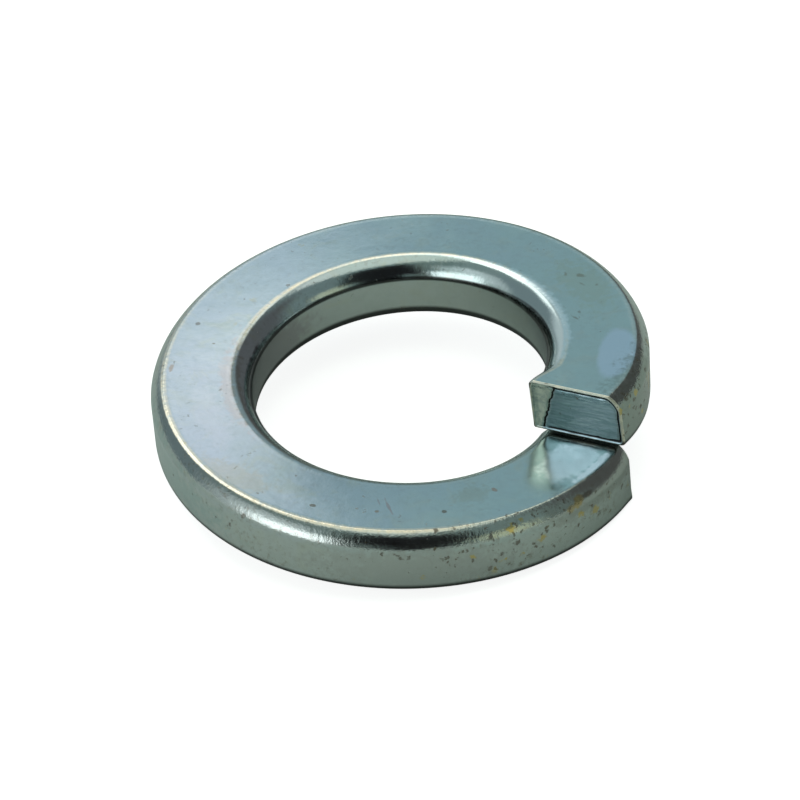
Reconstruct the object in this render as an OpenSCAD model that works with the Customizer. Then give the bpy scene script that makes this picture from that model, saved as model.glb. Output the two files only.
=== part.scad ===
/* [Coil] */
// Diameter of the bore that passes over the screw
bore_d = 10.2; // [9:0.1:12]
// Width of the wire section, from the bore wall to the outer wall
section_w = 3.5; // [3:0.1:4.5]
// Thickness of the wire section
section_t = 2.2; // [1.8:0.1:2.6]
// Height left open between the lower end's top face and the upper end passing over it
end_gap = 0.08; // [0.06:0.02:1]
// Height by which the middle of the turn stands above an even climb
mid_lift = 0.24; // [0:0.02:0.3]

/* [Cut ends] */
// Angle of the lower end's bottom edge about the bore axis, counted anticlockwise from +X
lower_end_angle = -28; // [-60:0.5:60]
// Angle that the coil turns through, measured along the foot of the outer wall
turn_angle = 360.4; // [350:0.2:361]
// Slope of the upper end's sheared face, whose top edge overhangs its bottom edge
upper_slope = 7; // [0:1:10]
// Angle between the upper end's sheared face and a radius, its bore side reaching furthest
upper_skew = 2.6; // [0:0.2:4]
// Slope of the lower end's sheared face, whose top edge overhangs its bottom edge
lower_slope = 5; // [0:1:10]
// Angle over which the bore-side roundings close up before the upper end
closing_run = 9; // [4:1:20]
// Share of the bore-side roundings left at the upper end
closing_share = 0.3; // [0.2:0.1:1]
// Angle over which the outer wall draws in before the upper end, and half of it at the lower end
narrowing_run = 15; // [8:1:30]
// How far the outer wall has drawn in at the upper end
upper_narrowing = 0.2; // [0:0.02:0.3]
// How far the top of the outer wall has drawn in at the lower end
lower_narrowing = 0.14; // [0:0.02:0.2]

/* [Corner roundings] */
// Radial size of the rounding between the top face and the outer wall
outer_round_w = 0.56; // [0.3:0.02:0.7]
// Axial size of the rounding between the top face and the outer wall
outer_round_h = 0.58; // [0.3:0.02:0.8]
// Radial size of the rounding between the top face and the bore wall
inner_round_w = 0.76; // [0.4:0.02:0.9]
// Axial size of the rounding between the top face and the bore wall
inner_round_h = 0.72; // [0.4:0.02:0.9]
// Radius of the small rounding under the outer wall
foot_round_outer = 0.16; // [0.1:0.02:0.3]
// Radius of the small rounding under the bore wall
foot_round_inner = 0.26; // [0.1:0.02:0.4]

/* [Fineness] */
// Steps along one turn of the coil
coil_steps = 96; // [60:12:120]
// Steps along each large rounding
round_steps = 5; // [3:1:7]

/* [Hidden] */
bore_r = bore_d / 2;
outer_r = bore_r + section_w;
// The swept bar stands proud of both walls, so that two true cylinders cut the walls themselves.
proud = 0.08;
rise = section_t + end_gap;
free_height = section_t + rise;
// Each rounding stops short of its wall's direction and meets the wall at this angle.
wall_crease = 16;

// One quarter of an ellipse about (cr, cz), from angle a0 to angle a1, as [radius, height] points.
function rounding(cr, cz, w, h, a0, a1, steps) =
    [for (i = [0:steps]) let (a = a0 + (a1 - a0) * i / steps) [cr + w * cos(a), cz + h * sin(a)]];

// The last point of a rounding carried on in a straight line to the radius r.
function carried_on(p, r, crease) = [r, p[1] + (p[1] > section_t / 2 ? -1 : 1) * abs(r - p[0]) / tan(crease)];

// Share of the bore-side roundings kept at step i: all of it, but less and less close to the upper end.
function kept(i) =
    let (left = min(1, turn_angle * (1 - i / coil_steps) / closing_run))
    closing_share + (1 - closing_share) * left * left * (3 - 2 * left);

// Outer side of the wire's section, from the underside up to the top face, in radius and height.
function outer_side() =
    let (foot = rounding(outer_r - foot_round_outer, foot_round_outer, foot_round_outer,
                         foot_round_outer, -90, -wall_crease, 2),
         top = rounding(outer_r - outer_round_w, section_t - outer_round_h, outer_round_w,
                        outer_round_h, wall_crease, 90, round_steps))
    concat(foot, [carried_on(foot[2], outer_r + proud, wall_crease)],
           [carried_on(top[0], outer_r + proud, wall_crease)], top);

// Bore side of the section, from the top face down to the underside, with a share of its roundings.
function bore_side(share) =
    let (w = inner_round_w * share, h = inner_round_h * share, foot_r = foot_round_inner * share,
         top = rounding(bore_r + w, section_t - h, w, h, 90, 180 - wall_crease, round_steps),
         foot = rounding(bore_r + foot_r, foot_r, foot_r, foot_r, 180 + wall_crease, 270, 2))
    concat(top, [carried_on(top[round_steps], bore_r - proud, wall_crease)],
           [carried_on(foot[0], bore_r - proud, wall_crease)], foot);

function section(i) = concat(outer_side(), bore_side(kept(i)));

// How far a sheared face leads along the coil, in degrees, at a point of the section.
function lower_lead(p) = -asin(tan(lower_slope) * p[1] / p[0]);
function upper_lead(p) =
    asin((tan(upper_slope) * p[1] + tan(upper_skew) * (outer_r - p[0])) / p[0]);

// Angle gone along the coil at step i, for a point of the section.
function gone(i, p) = turn_angle * i / coil_steps
    + (i == 0 ? lower_lead(p) : i == coil_steps ? upper_lead(p) : 0);

// Height of the coil's underside after an angle along it.
function climbed(along) = let (u = along / 360) rise * u + 4 * mid_lift * u * (1 - u);

// Radius of a point of the section, after the outer side has drawn in towards each sheared end.
function drawn_in(p, along) =
    let (share = (p[0] - bore_r) / section_w,
         upper = upper_narrowing * pow(max(0, 1 - (turn_angle - along) / narrowing_run), 2),
         lower = lower_narrowing * pow(max(0, 1 - 2 * along / narrowing_run), 2) * p[1] / section_t)
    p[0] - share * share * (upper + lower);

// A point of the section set in its place: the coil rises clockwise, seen from above.
function placed(p, along) =
    let (r = drawn_in(p, along), a = lower_end_angle - along)
    [r * cos(a), r * sin(a), p[1] + climbed(along)];

// The swept bar: the section carried along the coil and closed by the two sheared faces.
module swept_bar() {
    m = len(section(0));
    points = [for (i = [0:coil_steps]) for (p = section(i)) placed(p, gone(i, p))];
    sides = [
        for (i = [0:coil_steps - 1])
            for (j = [0:m - 1])
                let (a = i * m + j, b = i * m + (j + 1) % m, c = a + m, d = b + m)
                    each [[a, b, d], [a, d, c]]];
    lower_face = [for (j = [m - 1:-1:0]) j];
    upper_face = [for (j = [0:m - 1]) coil_steps * m + j];
    polyhedron(points=points, faces=concat(sides, [lower_face, upper_face]), convexity=6);
}

// One coil of rolled wire, with its outer wall and its bore as true cylinders.
module lock_washer() {
    color("lightsteelblue")
        difference() {
            intersection() {
                swept_bar();
                translate([0, 0, -1])
                    cylinder(r=outer_r, h=free_height + 2, $fn=180);
            }
            translate([0, 0, -2])
                cylinder(r=bore_r, h=free_height + 4, $fn=180);
        }
}

lock_washer();
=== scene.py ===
from math import asin, atan, cos, pi, radians, sin, tan

import bmesh
import bpy
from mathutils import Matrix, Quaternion, Vector, noise
from mathutils.geometry import delaunay_2d_cdt


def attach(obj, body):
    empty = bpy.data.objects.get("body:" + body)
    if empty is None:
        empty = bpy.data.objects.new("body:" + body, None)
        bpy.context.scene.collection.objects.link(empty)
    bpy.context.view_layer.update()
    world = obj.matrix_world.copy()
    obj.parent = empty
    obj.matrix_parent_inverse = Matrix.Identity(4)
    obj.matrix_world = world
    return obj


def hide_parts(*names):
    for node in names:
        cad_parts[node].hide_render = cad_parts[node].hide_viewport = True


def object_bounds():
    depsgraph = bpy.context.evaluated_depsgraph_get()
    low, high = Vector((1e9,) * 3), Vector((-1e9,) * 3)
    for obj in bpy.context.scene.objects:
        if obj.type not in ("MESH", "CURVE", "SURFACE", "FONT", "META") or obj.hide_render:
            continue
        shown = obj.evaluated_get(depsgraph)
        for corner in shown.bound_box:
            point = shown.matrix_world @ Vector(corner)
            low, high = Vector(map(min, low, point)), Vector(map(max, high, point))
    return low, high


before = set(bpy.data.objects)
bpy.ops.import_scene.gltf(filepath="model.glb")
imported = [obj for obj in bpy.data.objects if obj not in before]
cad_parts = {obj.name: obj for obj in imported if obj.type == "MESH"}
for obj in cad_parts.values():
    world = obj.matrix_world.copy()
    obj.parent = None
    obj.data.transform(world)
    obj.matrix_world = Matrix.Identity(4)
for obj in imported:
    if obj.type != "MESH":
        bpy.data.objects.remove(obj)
cad_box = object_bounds()

# Sizes of the washer, in metres
MM = 0.001
BORE_R = 5.1 * MM
WIDTH = 3.5 * MM
THICKNESS = 2.2 * MM
OUTER_R = BORE_R + WIDTH
MIDDLE_R = BORE_R + WIDTH / 2
RISE = 2.28 * MM
MID_LIFT = 0.24 * MM

# The coil and its two sheared ends. Angles along the coil count from the lower end's bottom edge.
LOWER_END_ANGLE = radians(-28)
TURN = radians(360.4)
UPPER_SLOPE = radians(7)
UPPER_SKEW = radians(2.6)
LOWER_SLOPE = radians(5)
CLOSING_RUN = radians(9)
CLOSING_SHARE = 0.3
NARROWING_RUN = radians(15)
UPPER_NARROWING = 0.20 * MM
LOWER_NARROWING = 0.13 * MM
BURR = 0.05 * MM
LIP = 0.065 * MM

# Each corner of the section is a few arcs: (turn in degrees, radius), from the level face to the wall
OUTER_CORNER = [(35, 0.26 * MM), (39, 0.92 * MM), (16, 0.12 * MM)]
INNER_CORNER = [(30, 0.55 * MM), (42, 0.98 * MM), (18, 0.12 * MM)]
OUTER_FOOT = [(90, 0.16 * MM)]
INNER_FOOT = [(90, 0.26 * MM)]
# Straight steps along the outer wall, the top, the bore wall and the underside
SIDE_STEPS = (15, 28, 14, 24)
STEPS_ALONG = 420
# Rows of points next to each end, and rings of the rounded lip, as angles
END_ROWS = [radians(a) for a in (0.064, 0.16, 0.32, 0.56)]
LIP_RINGS = [radians(a) for a in (0, 25, 50, 70, 90)]
# The grid that fills a sheared face, and the ring just inside its rim
CAP_GRID = 0.042 * MM
RIM_STEP = 0.022 * MM
# The sheared faces lie this far along the surface map, plus for the upper one and minus for the lower
CUT_FACE_MAP = 200
# The crack across the upper sheared face: distance from the bore at its foot in mm, and how it leans outwards
CRACK_FOOT = 0.30
CRACK_LEAN = 0.31

# The camera, at the photograph's viewing angle
CAMERA_ELEVATION = radians(37.61)
CAMERA_ROLL = radians(-4.18)
CAMERA_DISTANCE = 140.45 * MM
CAMERA_LENS = 182.88
CAMERA_SENSOR = 36
CAMERA_TARGET = Vector((-0.053, 0, 1.897)) * MM


def smooth(value, low, high):
    """0 below low, 1 above high, and an S-shaped change between them."""
    t = min(1.0, max(0.0, (value - low) / (high - low)))
    return t * t * (3 - 2 * t)


def corner_reach(arcs):
    """Horizontal and vertical size of a corner that turns a quarter, starting level."""
    last = corner_points(arcs, 90)[-1]
    return last[0], last[1]


def corner_points(arcs, step):
    """(across, down) along a corner that starts level at (0, 0), with a point about every step degrees."""
    points = [(0.0, 0.0)]
    turned = 0.0
    for turn, radius in arcs:
        across, down = points[-1]
        count = max(2, round(turn / step))
        for i in range(1, count + 1):
            ahead = turned + radians(turn) * i / count
            points.append((across + radius * (sin(ahead) - sin(turned)),
                           down + radius * (cos(turned) - cos(ahead))))
        turned += radians(turn)
    return points


def straight(a, b, count):
    """Points from a towards b, with neither end."""
    return [(a[0] + (b[0] - a[0]) * i / count, a[1] + (b[1] - a[1]) * i / count) for i in range(1, count)]


def section_outline(share):
    """The wire's section as (radius, height), anticlockwise from the outer end of the underside.

    The share tells how much of the two bore-side corners is left."""
    def corner(arcs, step, scale, wall_r, side, level, up):
        reach = corner_reach(arcs)[0] * scale
        return [(wall_r + side * (reach - a * scale), level + up * d * scale) for a, d in corner_points(arcs, step)]

    foot_outer = corner(OUTER_FOOT, 15, 1, OUTER_R, -1, 0, 1)
    top_outer = corner(OUTER_CORNER, 5, 1, OUTER_R, -1, THICKNESS, -1)
    top_inner = corner(INNER_CORNER, 5, share, BORE_R, 1, THICKNESS, -1)
    foot_inner = corner(INNER_FOOT, 12, share, BORE_R, 1, 0, 1)
    parts = [foot_outer, top_outer[::-1], top_inner, foot_inner[::-1]]
    outline = []
    for i, part in enumerate(parts):
        outline += part
        outline += straight(part[-1], parts[(i + 1) % 4][0], SIDE_STEPS[i])
    return outline


def map_marks():
    """Lengths around the section, in mm, at which its corners begin and end: foot, wall, corner, top and so on."""
    reach = [corner_reach(arcs) for arcs in (OUTER_FOOT, OUTER_CORNER, INNER_CORNER, INNER_FOOT)]
    arcs = [sum(radians(turn) * radius for turn, radius in c)
            for c in (OUTER_FOOT, OUTER_CORNER, INNER_CORNER, INNER_FOOT)]
    sides = [THICKNESS - reach[0][1] - reach[1][1], WIDTH - reach[1][0] - reach[2][0],
             THICKNESS - reach[2][1] - reach[3][1]]
    marks = [0.0]
    for length in (arcs[0], sides[0], arcs[1], sides[1], arcs[2], sides[2], arcs[3]):
        marks.append(marks[-1] + length / MM)
    return marks


def kept(along):
    """Share of the bore-side corners kept at an angle along the coil."""
    left = (TURN - along) / CLOSING_RUN
    return CLOSING_SHARE + (1 - CLOSING_SHARE) * smooth(left, 0, 1)


def narrowed(radius, height, along):
    """The radius after the outer side has drawn in towards each sheared end."""
    share = (radius - BORE_R) / WIDTH
    upper = UPPER_NARROWING * max(0, 1 - (TURN - along) / NARROWING_RUN) ** 2
    near = max(0, 1 - along / (NARROWING_RUN * 0.5)) ** 2
    lower = LOWER_NARROWING * near * height / THICKNESS - BURR * near ** 3 * max(0, 1 - height / (0.5 * MM))
    return radius - share ** 2 * (upper + lower)


def placed(radius, height, along):
    """A point of the section in its place. The coil rises clockwise, seen from above."""
    angle = LOWER_END_ANGLE - along
    radius = narrowed(radius, height, along)
    u = along / (2 * pi)
    return Vector((radius * cos(angle), radius * sin(angle), height + RISE * u + 4 * MID_LIFT * u * (1 - u)))


def lower_lead(radius, height):
    return -asin(tan(LOWER_SLOPE) * height / radius)


def upper_lead(radius, height):
    return asin((tan(UPPER_SLOPE) * height + tan(UPPER_SKEW) * (OUTER_R - radius)) / radius)


def drawn_in(point, inset):
    """A point of the section drawn in towards its middle, so that each flat side moves by the inset."""
    radius, height = point
    return (MIDDLE_R + (radius - MIDDLE_R) * (1 - inset / (WIDTH / 2)),
            THICKNESS / 2 + (height - THICKNESS / 2) * (1 - inset / (THICKNESS / 2)))


def rim_distance(point, outline):
    """Distance of a point to the outline, negative outside it."""
    crossing, nearest = False, 1.0
    px, py = point
    for (x0, y0), (x1, y1) in zip(outline, outline[1:] + outline[:1]):
        dx, dy = x1 - x0, y1 - y0
        if (y0 > py) != (y1 > py) and px < x0 + (py - y0) / dy * dx:
            crossing = not crossing
        t = min(1, max(0, ((px - x0) * dx + (py - y0) * dy) / max(dx * dx + dy * dy, 1e-20)))
        nearest = min(nearest, (px - x0 - t * dx) ** 2 + (py - y0 - t * dy) ** 2)
    return nearest ** 0.5 if crossing else -nearest ** 0.5


def filled(outline):
    """The section filled with a fine grid: points and triangles. The outline's own points come first."""
    grid = [drawn_in(p, RIM_STEP) for p in outline]
    count_r, count_h = int(WIDTH / CAP_GRID), int(THICKNESS / CAP_GRID)
    for i in range(1, count_r):
        for j in range(1, count_h):
            point = (BORE_R + WIDTH * (i + 0.5 * (j % 2)) / count_r, THICKNESS * j / count_h)
            if rim_distance(point, outline) > RIM_STEP + CAP_GRID * 0.6:
                grid.append(point)
    count = len(outline)
    # The rim, and a second ring close inside it
    loops = [(first + i, first + (i + 1) % count) for first in (0, count) for i in range(count)]
    everything = [Vector(p) / MM for p in outline + grid]
    points, _, faces, sources, _, _ = delaunay_2d_cdt(everything, loops, [], 1, 1e-6)
    return [tuple(p * MM) for p in points], faces, sources


def wander(x, y, seed):
    """Smooth noise between about -1 and 1."""
    return noise.noise(Vector((x, y, seed)))


def beside_crack(q, z):
    """Distance of a point of the upper sheared face from the crack across it, outwards, in mm."""
    return q - (CRACK_FOOT + CRACK_LEAN * z + 0.07 * wander(0, z * 2.5, 3) + 0.04 * wander(0, z * 8, 5))


def crevice(point, rim):
    """How much a point of the upper sheared face lies in the crack or in the groove inside the rim, 0 to 1."""
    q, z = (point[0] - BORE_R) / MM, point[1] / MM
    groove = 1 - smooth(abs(rim / MM - 0.09 - 0.03 * wander(q * 3, z * 3, 40)), 0.022, 0.075)
    groove *= smooth(q + 0.5 * wander(q * 2, z * 2, 41), 0.3, 0.9)
    crack = 1 - smooth(abs(beside_crack(q, z)), 0.02, 0.065 + 0.03 * wander(0, z * 5, 42))
    return max(groove, crack)


def upper_relief(point, rim):
    """How deep the torn face of the upper end lies behind its plane, in metres."""
    q, z = (point[0] - BORE_R) / MM, point[1] / MM
    beside = beside_crack(q, z)
    depth = 0.06 * crevice(point, rim)
    depth += 0.02 * smooth(-beside, 0, 0.1) + 0.10 * max(0, -beside)
    inner = smooth(rim / MM, 0.05, 0.2)
    sheared = 0.5 + 0.5 * wander(q * 0.9, z * 11, 8) + 0.4 * wander(q * 2.2, z * 24, 9)
    torn = 0.5 + 0.5 * wander(q * 2, z * 2, 12) + 0.3 * wander(q * 7, z * 7, 13)
    depth += inner * (0.022 * sheared + 0.025 * torn)
    return max(0, depth) * MM


def lower_relief(point, rim):
    """The same for the lower end, whose face hardly shows."""
    q, z = (point[0] - BORE_R) / MM, point[1] / MM
    inner = smooth(rim / MM, 0.03, 0.2)
    return inner * (0.03 + 0.02 * wander(q * 1.5, z * 8, 21) + 0.02 * wander(q * 3, z * 3, 22)) * MM


def row_angles():
    """Angles along the coil for the rows of points: even, but closer together near each end."""
    inner = [TURN * i / STEPS_ALONG for i in range(1, STEPS_ALONG)]
    return (END_ROWS + [a for a in inner if END_ROWS[-1] < a < TURN - END_ROWS[-1]]
            + [TURN - a for a in reversed(END_ROWS)])


def build_washer():
    mesh = bmesh.new()
    uv = mesh.loops.layers.uv.new("coil")
    crevice_shade_layer = mesh.verts.layers.float.new("crevice_shade_amount")
    lip_of = mesh.verts.layers.float.new("lip")
    rows = []

    def add_row(share, inset, lead, base, back):
        """One ring of points: the section drawn in by the inset, a distance back from a sheared face."""
        row = []
        for point in section_outline(share):
            radius, height = drawn_in(point, inset)
            along = base + (lead(radius, height) if lead else 0.0) + back / radius
            row.append((mesh.verts.new(placed(radius, height, along)), along))
            row[-1][0][lip_of] = 1.0
        rows.append(row)

    def lip(share, lead, base, into):
        """Rings of the small rounded lip, from the sheared face to the coil's sides."""
        return [(share, LIP * (1 - sin(a)), lead, base, into * LIP * (1 - cos(a))) for a in LIP_RINGS]

    # A ring that follows a sheared face fades into a ring across the wire over this angle
    fade = radians(7)

    def side_row(along):
        row = []
        for radius, height in section_outline(kept(along)):
            start = lower_lead(radius, height) + LIP / radius
            end = TURN + upper_lead(radius, height) - LIP / radius
            here = along
            if along < fade:
                here = start + (fade - start) * along / fade
            elif along > TURN - fade:
                here = TURN - fade + (end - TURN + fade) * (along - TURN + fade) / fade
            row.append((mesh.verts.new(placed(radius, height, here)), here))
        rows.append(row)

    for ring in lip(kept(0), lower_lead, 0.0, 1):
        add_row(*ring)
    for along in row_angles():
        side_row(along)
    for ring in reversed(lip(kept(TURN), upper_lead, TURN, -1)):
        add_row(*ring)

    outline = section_outline(1)
    count = len(outline)
    around = [0.0]
    for (x0, y0), (x1, y1) in zip(outline, outline[1:] + outline[:1]):
        around.append(around[-1] + ((x1 - x0) ** 2 + (y1 - y0) ** 2) ** 0.5 / MM)
    for a, b in zip(rows, rows[1:]):
        for j in range(count):
            k = (j + 1) % count
            face = mesh.faces.new((a[j][0], a[k][0], b[k][0], b[j][0]))
            corners = ((a[j][1], j), (a[k][1], j + 1), (b[k][1], j + 1), (b[j][1], j))
            for loop, (along, v) in zip(face.loops, corners):
                loop[uv].uv = (along * MIDDLE_R / MM, around[v])

    for row, share, lead, base, into, relief in ((rows[0], kept(0), lower_lead, 0.0, 1, lower_relief),
                                                 (rows[-1], kept(TURN), upper_lead, TURN, -1, upper_relief)):
        rim = [drawn_in(p, LIP) for p in section_outline(share)]
        points, faces, sources = filled(rim)
        verts = []
        for point, source in zip(points, sources):
            own = [s for s in source if s < count]
            if own:
                verts.append(row[own[0]][0])
            else:
                radius, height = point
                off_rim = rim_distance(point, rim)
                depth = relief(point, off_rim)
                vert = mesh.verts.new(placed(radius, height, base + lead(radius, height) + into * depth / radius))
                # The crack and groove mask, which the material paints as shade
                vert[crevice_shade_layer] = crevice(point, off_rim) if into < 0 else 0.0
                verts.append(vert)
        for face in faces:
            loop = [verts[i] for i in face]
            made = mesh.faces.new(loop if into < 0 else loop[::-1])
            for corner, i in zip(made.loops, face if into < 0 else face[::-1]):
                corner[uv].uv = (points[i][0] / MM - into * CUT_FACE_MAP, points[i][1] / MM)
    for face in mesh.faces:
        face.smooth = True
    bmesh.ops.recalc_face_normals(mesh, faces=mesh.faces)
    data = bpy.data.meshes.new("lock_washer_coil")
    mesh.to_mesh(data)
    mesh.free()
    piece = bpy.data.objects.new("lock_washer_coil", data)
    bpy.context.scene.collection.objects.link(piece)
    return piece


# The light around the washer, as soft-edged patches of the sky laid one over another:
# (what it stands for, azimuth, elevation, half width, half height, softness, colour). Angles in degrees.
PANELS = [
    ("overhead ceiling", 0, 90, 180, 24, 6, (0.82, 0.86, 0.78)),
    ("left wall", 148, 18, 34, 26, 22, (0.18, 0.225, 0.235)),
    ("right wall", 34, 22, 42, 34, 20, (0.12, 0.122, 0.122)),
    ("glow beside the reflector", -170, 18, 12, 24, 10, (0.42, 0.47, 0.47)),
    ("glow below the key light", 112, 20, 18, 14, 12, (0.48, 0.53, 0.54)),
    ("back wall", 84, 34, 22, 11, 12, (0.335, 0.455, 0.51)),
    ("back wall, middle part", 101, 41, 14, 4.5, 4, (0.66, 0.78, 0.84)),
    ("back wall, bright part", 101, 50, 14, 7.5, 3, (0.86, 0.91, 0.98)),
    ("bright band behind", 84, 56, 28, 7, 8, (1.25, 1.22, 1.05)),
    ("key light", 122, 53, 26, 10, 9, (1.75, 1.75, 1.65)),
    ("key light, lower part", 128, 38, 10, 8, 8, (1.35, 1.40, 1.35)),
    ("white reflector, upper part", -150, 30, 18, 17, 12, (0.62, 0.68, 0.68)),
    ("white reflector", -140, 8, 18, 19, 12, (1.80, 1.85, 1.85)),
    ("right reflector", -46, 8, 12, 16, 10, (0.56, 0.59, 0.43)),
    ("dim edge beside the camera", -112, 26, 8, 34, 7, (0.12, 0.14, 0.13)),
    ("dark camera", -85, 39, 29, 20, 4, (0.014, 0.014, 0.015)),
    ("dark camera stand", -84, 14, 17, 24, 6, (0.014, 0.014, 0.015)),
]
ROOM = (0.20, 0.255, 0.245)
FLOOR_COLOUR = (0.80, 0.86, 0.82)
FLOOR_ROUGHNESS = 0.8
FLOOR_LIFT = 0.86
FLOOR_HALF = 0.6


class Nodes:
    """Short forms for building a node tree."""

    def __init__(self, tree):
        self.tree = tree

    def new(self, kind, **settings):
        node = self.tree.nodes.new("ShaderNode" + kind)
        for name, value in settings.items():
            setattr(node, name, value)
        return node

    def put(self, socket, value):
        if isinstance(value, bpy.types.NodeSocket):
            self.tree.links.new(value, socket)
        elif isinstance(value, tuple) and len(value) == 3 and socket.type == "RGBA":
            socket.default_value = (*value, 1)
        else:
            socket.default_value = value

    def math(self, operation, *values, clamp=False):
        node = self.new("Math", operation=operation, use_clamp=clamp)
        for socket, value in zip(node.inputs, values):
            self.put(socket, value)
        return node.outputs[0]

    def ramp(self, value, low, high, at_low=0.0, at_high=1.0):
        """S-shaped change of the value from low to high."""
        node = self.new("MapRange", interpolation_type="SMOOTHSTEP")
        for socket, number in zip(node.inputs, (value, low, high, at_low, at_high)):
            self.put(socket, number)
        return node.outputs[0]

    def mix(self, factor, a, b, blend="MIX"):
        node = self.new("Mix", data_type="RGBA", blend_type=blend)
        for socket, value in ((node.inputs[0], factor), (node.inputs[6], a), (node.inputs[7], b)):
            self.put(socket, value)
        return node.outputs[2]

    def scaled(self, vector, scale):
        node = self.new("VectorMath", operation="MULTIPLY")
        self.put(node.inputs[0], vector)
        node.inputs[1].default_value = scale
        return node.outputs[0]

    def noise(self, vector, scale, detail=2.0, rough=0.55, warp=0.0):
        node = self.new("TexNoise")
        self.put(node.inputs["Vector"], vector)
        for name, value in (("Scale", scale), ("Detail", detail), ("Roughness", rough), ("Distortion", warp)):
            node.inputs[name].default_value = value
        return node.outputs[0]

    def band(self, value, centre, half, soft):
        """1 near the centre, falling to 0 over the softness at half away from it. Angles in degrees."""
        away = self.math("ABSOLUTE", self.math("WRAP", self.math("SUBTRACT", value, centre), 180, -180))
        return self.ramp(away, half - soft / 2, half + soft / 2, 1.0, 0.0)

    def spot(self, coil, centre, half, lean, edge, soft=0.3):
        """1 inside an ellipse of the surface map, 0 outside; the edge value roughens its outline."""
        place = self.new("Mapping", vector_type="TEXTURE")
        self.put(place.inputs["Vector"], coil)
        place.inputs["Location"].default_value = (*centre, 0)
        place.inputs["Rotation"].default_value = (0, 0, -atan(lean))
        place.inputs["Scale"].default_value = (*half, 1)
        away = self.new("VectorMath", operation="LENGTH")
        self.put(away.inputs[0], place.outputs[0])
        return self.ramp(self.math("ADD", away.outputs["Value"], edge), 1 - soft, 1 + soft, 1.0, 0.0)
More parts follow.
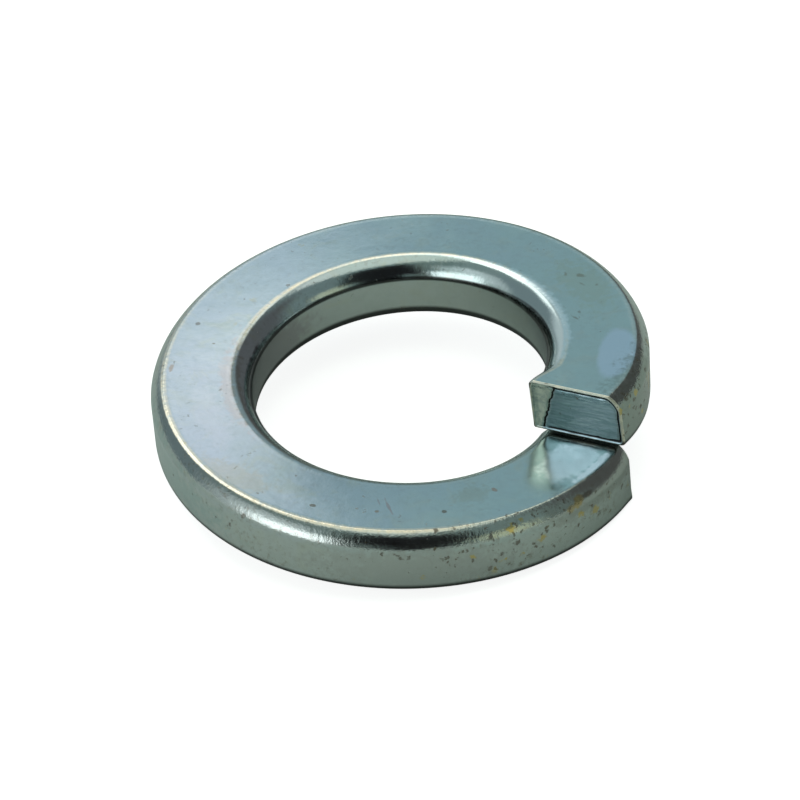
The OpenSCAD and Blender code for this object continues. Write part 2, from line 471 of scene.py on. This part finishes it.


# Marks on the zinc, and some painted highlights, reflections and shade: (what it is, place and half size on the
# surface map in mm, lean, raggedness, colour, amount).
# The map counts along the coil from the lower end, and around the section from the foot of the outer wall.
MARKS = [
    # Painted reflection: a pale blue oval on the top face near the upper end
    ("painted pale blue reflection near the upper end", (41.1, 3.05), (1.30, 0.64), 0.0, 0.12, (0.61, 0.72, 0.81), 0.85),
    ("long scratch at the front", (8.10, 3.73), (0.045, 0.40), 0.38, 1.0, (0.46, 0.36, 0.34), 0.6),
    ("short scratch beside it", (8.45, 3.95), (0.03, 0.20), 0.38, 1.0, (0.46, 0.36, 0.34), 0.4),
    ("ochre spot at the lower end", (2.45, 1.95), (0.20, 0.16), 0.5, 1.0, (0.60, 0.42, 0.08), 0.9),
    ("dark spot beside it", (2.10, 2.00), (0.18, 0.10), 0.0, 1.0, (0.12, 0.08, 0.04), 0.8),
    ("second ochre spot", (2.80, 1.85), (0.16, 0.12), 0.3, 1.0, (0.60, 0.42, 0.08), 0.7),
    ("warm haze, front left", (13.2, 3.0), (1.2, 0.5), 0.3, 1.0, (0.56, 0.55, 0.47), 0.5),
    ("dull wall near the upper end", (42.2, 1.1), (1.9, 1.6), 0.0, 0.8, (0.26, 0.31, 0.26), 0.60),
    ("dull corner near the lower end", (1.5, 1.9), (2.2, 0.6), 0.0, 0.8, (0.30, 0.30, 0.26), 0.50),
    ("olive haze at the front right", (5.2, 4.0), (0.6, 0.40), 0.3, 1.5, (0.44, 0.48, 0.39), 0.4),
    ("olive haze at the back right", (37.0, 3.4), (1.5, 0.7), 0.0, 1.5, (0.46, 0.52, 0.38), 0.35),
    ("brown speck in it", (36.50, 3.30), (0.15, 0.09), 0.9, 2.0, (0.24, 0.20, 0.12), 0.5),
    ("brown speck in it", (36.95, 3.52), (0.12, 0.05), 0.4, 2.0, (0.26, 0.21, 0.12), 0.45),
    ("brown speck in it", (36.10, 3.66), (0.13, 0.05), -0.5, 2.0, (0.26, 0.21, 0.12), 0.45),
    ("brown speck in it", (37.25, 3.10), (0.06, 0.06), 0.0, 2.0, (0.24, 0.19, 0.10), 0.45),
    ("brown speck near the bore", (38.93, 4.40), (0.17, 0.05), 0.5, 2.0, (0.24, 0.21, 0.14), 0.5),
    ("brown speck beside it", (38.55, 4.22), (0.08, 0.05), 0.0, 2.0, (0.24, 0.21, 0.14), 0.45),
    # Painted reflection: near-white patch on the lower end's top, under the upper end
    ("painted reflection under the upper end", (1.30, 3.50), (1.30, 0.80), 0.0, 0.7, (0.95, 1.00, 1.00), 0.9),
    ("dark speck at the left", (21.03, 3.07), (0.07, 0.08), 0.0, 1.0, (0.16, 0.14, 0.10), 0.6),
    ("dark speck at the left", (20.15, 3.99), (0.05, 0.07), 0.0, 1.0, (0.22, 0.19, 0.15), 0.6),
    ("brown streak at the left", (18.85, 2.75), (0.20, 0.08), 0.0, 1.2, (0.38, 0.28, 0.18), 0.6),
    ("dark speck at the front", (10.46, 3.20), (0.08, 0.07), 0.0, 1.0, (0.18, 0.14, 0.08), 0.7),
    ("brown speck at the front", (8.46, 3.44), (0.07, 0.07), 0.0, 1.0, (0.38, 0.25, 0.14), 0.6),
    ("dark speck at the front", (6.33, 3.35), (0.07, 0.07), 0.0, 1.0, (0.16, 0.12, 0.07), 0.7),
    ("brown speck at the front right", (4.38, 3.92), (0.08, 0.12), 0.4, 1.0, (0.42, 0.24, 0.16), 0.6),
    # Painted highlight: white along the outer crease at the lower end
    ("painted highlight on the edge at the lower end", (1.15, 2.62), (1.00, 0.13), 0.0, 0.8, (1.00, 1.00, 1.00), 0.9),
    # Painted highlight: lighter band on the bore's corner at the right
    ("painted highlight on the corner of the bore, right", (37.5, 5.20), (5.6, 0.50), 0.0, 0.5, (0.74, 0.86, 0.87), 0.8),
    # Painted shade: darker bore wall on the left
    ("painted shade on the bore wall, left", (21.0, 6.50), (3.5, 0.80), 0.0, 0.6, (0.40, 0.38, 0.40), 0.7),
    ("pinkish haze along the bore, left", (17.5, 4.68), (2.4, 0.22), 0.0, 1.6, (0.60, 0.53, 0.50), 0.45),
    # Darker and browner along the bore's corner on the left
    ("darker corner of the bore, left", (15.0, 5.00), (4.8, 0.18), 0.0, 1.5, (0.40, 0.39, 0.34), 0.6),
    # Painted shade: near black where that corner meets the bore wall
    ("painted shade at the foot of that corner", (17.5, 5.62), (3.8, 0.22), 0.0, 0.8, (0.06, 0.05, 0.055), 0.85),
    ("pale patch at the left", (16.2, 3.80), (1.6, 0.50), 0.0, 1.2, (0.66, 0.70, 0.75), 0.35),
    # Darker along the outer wall at the front
    ("darker wall at the front", (7.4, 0.90), (2.5, 0.90), 0.0, 1.5, (0.47, 0.51, 0.49), 0.7),
    ("teal wall at the left", (17.5, 0.95), (4.0, 1.00), 0.0, 1.0, (0.42, 0.545, 0.54), 0.8),
]


# Colours of the zinc, of its dirt and of the sheared faces, and of painted highlights and shade
# The left tint is partly painted light and the right one partly painted shade, besides the zinc's own lavender and
# green
LEFT_TINT_AND_LIGHT = (0.565, 0.635, 0.69)
RIGHT_TINT_AND_SHADE = (0.49, 0.625, 0.60)
WALL_TINT = (0.57, 0.635, 0.605)
STAIN = (0.56, 0.61, 0.53)
HAZE = (0.42, 0.48, 0.46)
# Painted highlight: pale yellow for the lines along the top's creases
CREASE_HIGHLIGHT_YELLOW = (0.80, 0.76, 0.62)
GRIME = (0.27, 0.24, 0.18)
CUT_DARK = (0.28, 0.415, 0.465)
CUT_LIGHT = (0.40, 0.535, 0.605)
STRIP_LIGHT = (0.74, 0.82, 0.72)
STRIP_DARK = (0.50, 0.60, 0.55)
# Painted shade: near black for the crack and the groove inside the rim
CREVICE_SHADE = (0.018, 0.02, 0.02)
# Painted highlight: pale yellow for light caught on the rounded lip
LIP_HIGHLIGHT_TINT = (0.86, 0.84, 0.70)
# Painted shade: near black for the lines at the feet and along the bore's crease
SHADE_LINE_COLOUR = (0.03, 0.03, 0.028)
OCHRE_SPECK = (0.62, 0.50, 0.17)
DARK_SPECK = (0.11, 0.085, 0.05)
FINE_SPECK = (0.14, 0.12, 0.08)


def make_zinc():
    """Bright zinc over steel: a mirror with a tinted, slightly uneven, specked and streaked skin, and painted
    highlights, reflections and shade in its colour.
    """
    material = bpy.data.materials.new("zinc_plate")
    material.use_nodes = True
    tree = material.node_tree
    n = Nodes(tree)
    shader = tree.nodes["Principled BSDF"]
    place = n.scaled(n.new("TexCoord").outputs["Object"], (1000, 1000, 1000))
    coil = n.new("UVMap", uv_map="coil").outputs[0]
    split = n.new("SeparateXYZ")
    tree.links.new(place, split.inputs[0])
    x = split.outputs["X"]
    mapped = n.new("SeparateXYZ")
    tree.links.new(coil, mapped.inputs[0])
    u, v = mapped.outputs[0], mapped.outputs[1]

    wall_foot, wall_top, top_outer, top_inner, bore_top, bore_foot = map_marks()[1:7]

    def between(low, high, soft=0.15):
        """1 on the part of the section between two lengths around it."""
        return n.math("MULTIPLY", n.ramp(v, low - soft, low + soft), n.ramp(v, high - soft, high + soft, 1.0, 0.0))

    def times(*values):
        product = values[0]
        for value in values[1:]:
            product = n.math("MULTIPLY", product, value)
        return product

    on_wall = n.math("MAXIMUM", between(-1, wall_top, 0.25), n.ramp(v, bore_top - 0.2, bore_top + 0.2))
    on_outer_corner = between(wall_top, top_outer)
    on_inner_corner = between(top_inner, bore_top)
    on_coil = n.ramp(u, CUT_FACE_MAP - 50, CUT_FACE_MAP - 40, 1.0, 0.0)
    on_cut = n.math("SUBTRACT", 1.0, on_coil)

    # Colour: lavender and a little lighter on the left, greener and a little darker on the right, greener on the
    # walls, with cloudy patches; the lighter left is partly painted light
    clouds = n.noise(place, 0.35, 3, 0.6, 0.6)
    cloudy = times(n.math("SUBTRACT", clouds, 0.5), 12)
    side = n.ramp(n.math("ADD", x, cloudy), -9, 7)
    tint = n.mix(side, LEFT_TINT_AND_LIGHT, RIGHT_TINT_AND_SHADE)
    tint = n.mix(times(n.math("MAXIMUM", on_wall, on_outer_corner), 0.8), tint, WALL_TINT)
    stain = n.noise(place, 0.9, 4, 0.65, 1.0)
    tint = n.mix(n.ramp(stain, 0.50, 0.74, 0.0, 0.5), tint, STAIN)
    haze = n.noise(place, 2.4, 4, 0.7, 0.4)
    tint = n.mix(n.ramp(haze, 0.42, 0.72, 0.0, 0.22), tint, HAZE)

    # Painted highlight: lighter yellow lines where the top face turns into its two corners, at the front outside
    # and at the back inside
    uneven = n.ramp(haze, 0.35, 0.6, 0.35, 1.0)
    front = times(n.ramp(u, 4, 8), n.ramp(u, 17, 24, 1.0, 0.15))
    behind = times(n.ramp(u, 17, 24, 0.15, 1.0), on_coil)
    for at, wide, where in ((top_outer - 0.04, 0.20, front), (top_inner + 0.04, 0.14, behind)):
        line = between(at - wide / 2, at + wide / 2, 0.05)
        tint = n.mix(times(line, where, uneven), tint, CREASE_HIGHLIGHT_YELLOW)

    # Brown grime with streaks, on the outer corner and wall above all
    streaks = n.noise(n.scaled(coil, (6, 1.5, 1)), 1.0, 4, 0.7, 0.5)
    grime = n.math("ADD", n.noise(place, 5.0, 5, 0.75), times(n.math("SUBTRACT", streaks, 0.5), 0.25))
    patches = n.ramp(n.noise(place, 0.7, 2, 0.5), 0.38, 0.62, 0.25, 1.0)
    dirty = n.math("ADD", 0.14, n.math("ADD", times(between(0.2, top_outer), 0.5), times(on_inner_corner, 0.15)))
    tint = n.mix(times(n.ramp(grime, 0.50, 0.70), dirty, patches), tint, GRIME)

    ragged = times(n.math("SUBTRACT", n.noise(place, 3.5, 3, 0.65), 0.5), 1.8)
    for _, centre, half, lean, torn, colour, amount in MARKS:
        mark = n.spot(coil, centre, half, lean, times(ragged, torn), 0.12 + 0.2 * torn)
        tint = n.mix(times(mark, amount), tint, colour)

    # The upper sheared face is bluer, but for a greyer strip between the crack and the bore
    foot = CUT_FACE_MAP + BORE_R / MM + CRACK_FOOT
    beyond = n.math("SUBTRACT", n.math("SUBTRACT", u, foot), times(v, CRACK_LEAN))
    shear = n.noise(n.scaled(coil, (1.2, 9, 1)), 1.0, 3, 0.6)
    blue = n.mix(n.ramp(shear, 0.35, 0.65), CUT_DARK, CUT_LIGHT)
    strip = n.mix(n.ramp(haze, 0.4, 0.6), STRIP_LIGHT, STRIP_DARK)
    sheared = n.mix(n.ramp(beyond, -0.04, 0.04), strip, blue)
    tint = n.mix(on_cut, tint, sheared)
    # Painted shade: the crack and the groove inside the rim of the upper sheared face are coloured near black
    crevice_shade_fac = n.new("Attribute", attribute_name="crevice_shade_amount").outputs["Fac"]
    tint = n.mix(n.ramp(crevice_shade_fac, 0.35, 0.8), tint, CREVICE_SHADE)
    # Painted highlight: the rounded lip around each sheared face is tinted pale, as light caught on it
    lip = n.new("Attribute", attribute_name="lip").outputs["Fac"]
    tint = n.mix(times(n.ramp(lip, 0.3, 0.9), n.ramp(haze, 0.3, 0.6, 1.0, 0.5)), tint, LIP_HIGHLIGHT_TINT)

    # Painted shade: dark lines at both rims at the foot, and where the bore's corner meets its wall, wide near the
    # upper end
    wide = n.ramp(u, 32, 41, 0.02, 0.2)
    crease = n.math("ABSOLUTE", n.math("SUBTRACT", n.math("ADD", v, times(wide, 0.8)), bore_top - 0.02))
    crease = n.ramp(n.math("SUBTRACT", crease, wide), 0.02, 0.10, 1.0, 0.0)
    crease = times(crease, n.ramp(clouds, 0.3, 0.5, 0.6, 1.0))
    rims = n.math("MAXIMUM", n.ramp(v, wall_foot - 0.03, wall_foot + 0.13, 1.0, 0.0),
                  n.ramp(v, bore_foot - 0.18, bore_foot - 0.02))
    tint = n.mix(times(n.math("MAXIMUM", crease, rims), on_coil, 0.92), tint, SHADE_LINE_COLOUR)

    # Specks: dark brown, yellow and fine ones, most on the outer corner and wall near the ends
    shaken = n.new("TexNoise")
    n.put(shaken.inputs["Vector"], place)
    shaken.inputs["Scale"].default_value = 6
    loose = n.new("VectorMath", operation="ADD")
    n.put(loose.inputs[0], place)
    n.put(loose.inputs[1], n.scaled(shaken.outputs[1], (0.35, 0.35, 0.35)))
    edge = between(0.5, top_outer, 0.3)
    near_ends = n.math("MAXIMUM", n.spot(coil, (4.4, 1.6), (3.6, 1.2), 0.0, ragged, 0.5),
                       n.spot(coil, (42.0, 1.3), (2.6, 1.3), 0.0, ragged, 0.5))
    rusty = times(near_ends, edge)
    crowd = n.noise(place, 0.6, 4, 0.7)
    crowd = n.math("ADD", crowd, n.math("ADD", times(edge, 0.05), times(rusty, 0.34)))

    def dots(scale, shift, size, least):
        """Round dots in some of the cells: more of them and larger where the crowd value is high."""
        moved = n.new("VectorMath", operation="ADD")
        n.put(moved.inputs[0], loose.outputs[0])
        moved.inputs[1].default_value = (shift, shift * 2, shift * 3)
        cells = n.new("TexVoronoi")
        n.put(cells.inputs["Vector"], moved.outputs[0])
        cells.inputs["Scale"].default_value = scale
        chance = n.new("SeparateColor")
        n.put(chance.inputs[0], cells.outputs["Color"])
        picked = n.math("SUBTRACT", n.math("ADD", chance.outputs[0], times(crowd, 1.2)), least)
        reach = times(n.math("MULTIPLY", picked, 2.0, clamp=True), size)
        return n.ramp(n.math("SUBTRACT", cells.outputs["Distance"], reach), -0.12, 0.02, 1.0, 0.0)

    dark = dots(scale=2.2, shift=3.1, size=0.34, least=1.40)
    yellow = dots(scale=1.7, shift=7.7, size=0.36, least=1.39)
    fine = dots(scale=4.5, shift=1.3, size=0.40, least=1.34)
    stronger = n.math("ADD", times(edge, 0.2), times(rusty, 0.45))
    tint = n.mix(times(yellow, n.math("ADD", 0.2, stronger)), tint, OCHRE_SPECK)
    tint = n.mix(times(dark, 0.7), tint, DARK_SPECK)
    tint = n.mix(times(fine, n.math("ADD", 0.4, times(rusty, 0.3))), tint, FINE_SPECK)
    specks = n.math("MAXIMUM", dark, times(fine, 0.5))

    # Relief: rolling marks across the corners, a faint waviness and a fine skin
    ripple = n.noise(place, 1.1, 2, 0.5, 0.3)
    skin = n.noise(place, 7, 3, 0.7)
    corners = n.math("ADD", on_outer_corner, times(on_inner_corner, 0.35))

    tree.links.new(tint, shader.inputs["Base Color"])
    n.put(shader.inputs["Metallic"], n.math("SUBTRACT", 1.0, times(specks, 0.4)))
    rough = n.math("ADD", n.ramp(clouds, 0.35, 0.7, 0.10, 0.17), times(specks, 0.25))
    rough = n.math("ADD", rough, n.math("ADD", times(on_cut, 0.12), times(on_wall, 0.10)))
    dull = n.spot(coil, (1.2, 3.7), (2.4, 1.4), 0.0, ragged, 0.4)
    rough = n.math("ADD", rough, n.math("ADD", times(dull, 0.07), times(lip, 0.3)))
    n.put(shader.inputs["Roughness"], rough)
    height = times(streaks, n.math("ADD", 0.0006, times(corners, 0.005)))
    height = n.math("ADD", height, times(ripple, 0.005))
    height = n.math("ADD", height, times(skin, n.math("ADD", 0.0010, times(corners, 0.009))))
    bump = n.new("Bump")
    bump.inputs["Strength"].default_value = 1.0
    bump.inputs["Distance"].default_value = MM
    tree.links.new(height, bump.inputs["Height"])
    tree.links.new(bump.outputs[0], shader.inputs["Normal"])
    return material


def make_world():
    """The studio patches light the washer, before a white backdrop that only the camera and glass see whole."""
    world = bpy.data.worlds.new("studio")
    bpy.context.scene.world = world
    world.use_nodes = True
    tree = world.node_tree
    tree.nodes.clear()
    n = Nodes(tree)
    split = n.new("SeparateXYZ")
    tree.links.new(n.new("TexCoord").outputs["Generated"], split.inputs[0])
    azimuth = n.math("MULTIPLY", n.math("ARCTAN2", split.outputs["Y"], split.outputs["X"]), 180 / pi)
    elevation = n.math("MULTIPLY", n.math("ARCSINE", split.outputs["Z"]), 180 / pi)
    colour = ROOM
    for _, az, el, half_w, half_h, soft, tint in PANELS:
        mask = n.band(elevation, el, half_h, soft)
        if half_w < 180:
            mask = n.math("MULTIPLY", mask, n.band(azimuth, az, half_w, soft))
        colour = n.mix(mask, colour, tint)
    lit = n.new("Background")
    n.put(lit.inputs["Color"], colour)
    white = n.new("Background")
    white.inputs["Color"].default_value = (1, 1, 1, 1)
    path = n.new("LightPath")
    seen = n.math("MAXIMUM", path.outputs["Is Camera Ray"], path.outputs["Is Transmission Ray"])
    # Metal sees the white backdrop too, but only as far up as the floor's edge
    backdrop = n.math("MULTIPLY", path.outputs["Is Glossy Ray"], n.ramp(elevation, -1, 1, 1.0, 0.0))
    seen = n.math("MAXIMUM", seen, backdrop)
    choose = n.new("MixShader")
    tree.links.new(seen, choose.inputs["Fac"])
    tree.links.new(lit.outputs[0], choose.inputs[1])
    tree.links.new(white.outputs[0], choose.inputs[2])
    tree.links.new(choose.outputs[0], n.new("OutputWorld").inputs["Surface"])


def make_floor():
    """A pale floor at the washer's lowest point."""
    mesh = bpy.data.meshes.new("floor")
    low = cad_box[0][2]
    corners = [(-1, -1), (1, -1), (1, 1), (-1, 1)]
    mesh.from_pydata([(x * FLOOR_HALF, y * FLOOR_HALF, low) for x, y in corners], [], [(0, 1, 2, 3)])
    floor = bpy.data.objects.new("floor", mesh)
    bpy.context.scene.collection.objects.link(floor)
    material = bpy.data.materials.new("pale_floor")
    material.use_nodes = True
    tree = material.node_tree
    n = Nodes(tree)
    shader = tree.nodes["Principled BSDF"]
    shader.inputs["Base Color"].default_value = (*FLOOR_COLOUR, 1)
    shader.inputs["Roughness"].default_value = FLOOR_ROUGHNESS
    # For the camera, the floor is lifted to white and keeps its shadow
    path = n.new("LightPath")
    seen = n.math("MAXIMUM", path.outputs["Is Camera Ray"], path.outputs["Is Transmission Ray"])
    glow = n.new("Emission")
    glow.inputs["Strength"].default_value = FLOOR_LIFT
    choose = n.new("MixShader")
    tree.links.new(seen, choose.inputs["Fac"])
    tree.links.new(glow.outputs[0], choose.inputs[2])
    add = n.new("AddShader")
    tree.links.new(shader.outputs[0], add.inputs[0])
    tree.links.new(choose.outputs[0], add.inputs[1])
    tree.links.new(add.outputs[0], tree.nodes["Material Output"].inputs["Surface"])
    mesh.materials.append(material)


def make_camera():
    camera = bpy.data.objects.new("camera", bpy.data.cameras.new("camera"))
    bpy.context.scene.collection.objects.link(camera)
    towards = Vector((0, -cos(CAMERA_ELEVATION), sin(CAMERA_ELEVATION)))
    camera.rotation_mode = "QUATERNION"
    camera.rotation_quaternion = towards.to_track_quat("Z", "Y") @ Quaternion((0, 0, 1), CAMERA_ROLL)
    camera.location = CAMERA_TARGET + towards * CAMERA_DISTANCE
    camera.data.lens = CAMERA_LENS
    camera.data.sensor_width = CAMERA_SENSOR
    camera.data.clip_start = 5 * MM
    bpy.context.scene.camera = camera


bpy.context.scene.view_settings.view_transform = "Standard"
washer = build_washer()
washer.data.materials.append(make_zinc())
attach(washer, "root")
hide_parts("lock_washer")
make_world()
make_floor()
make_camera()
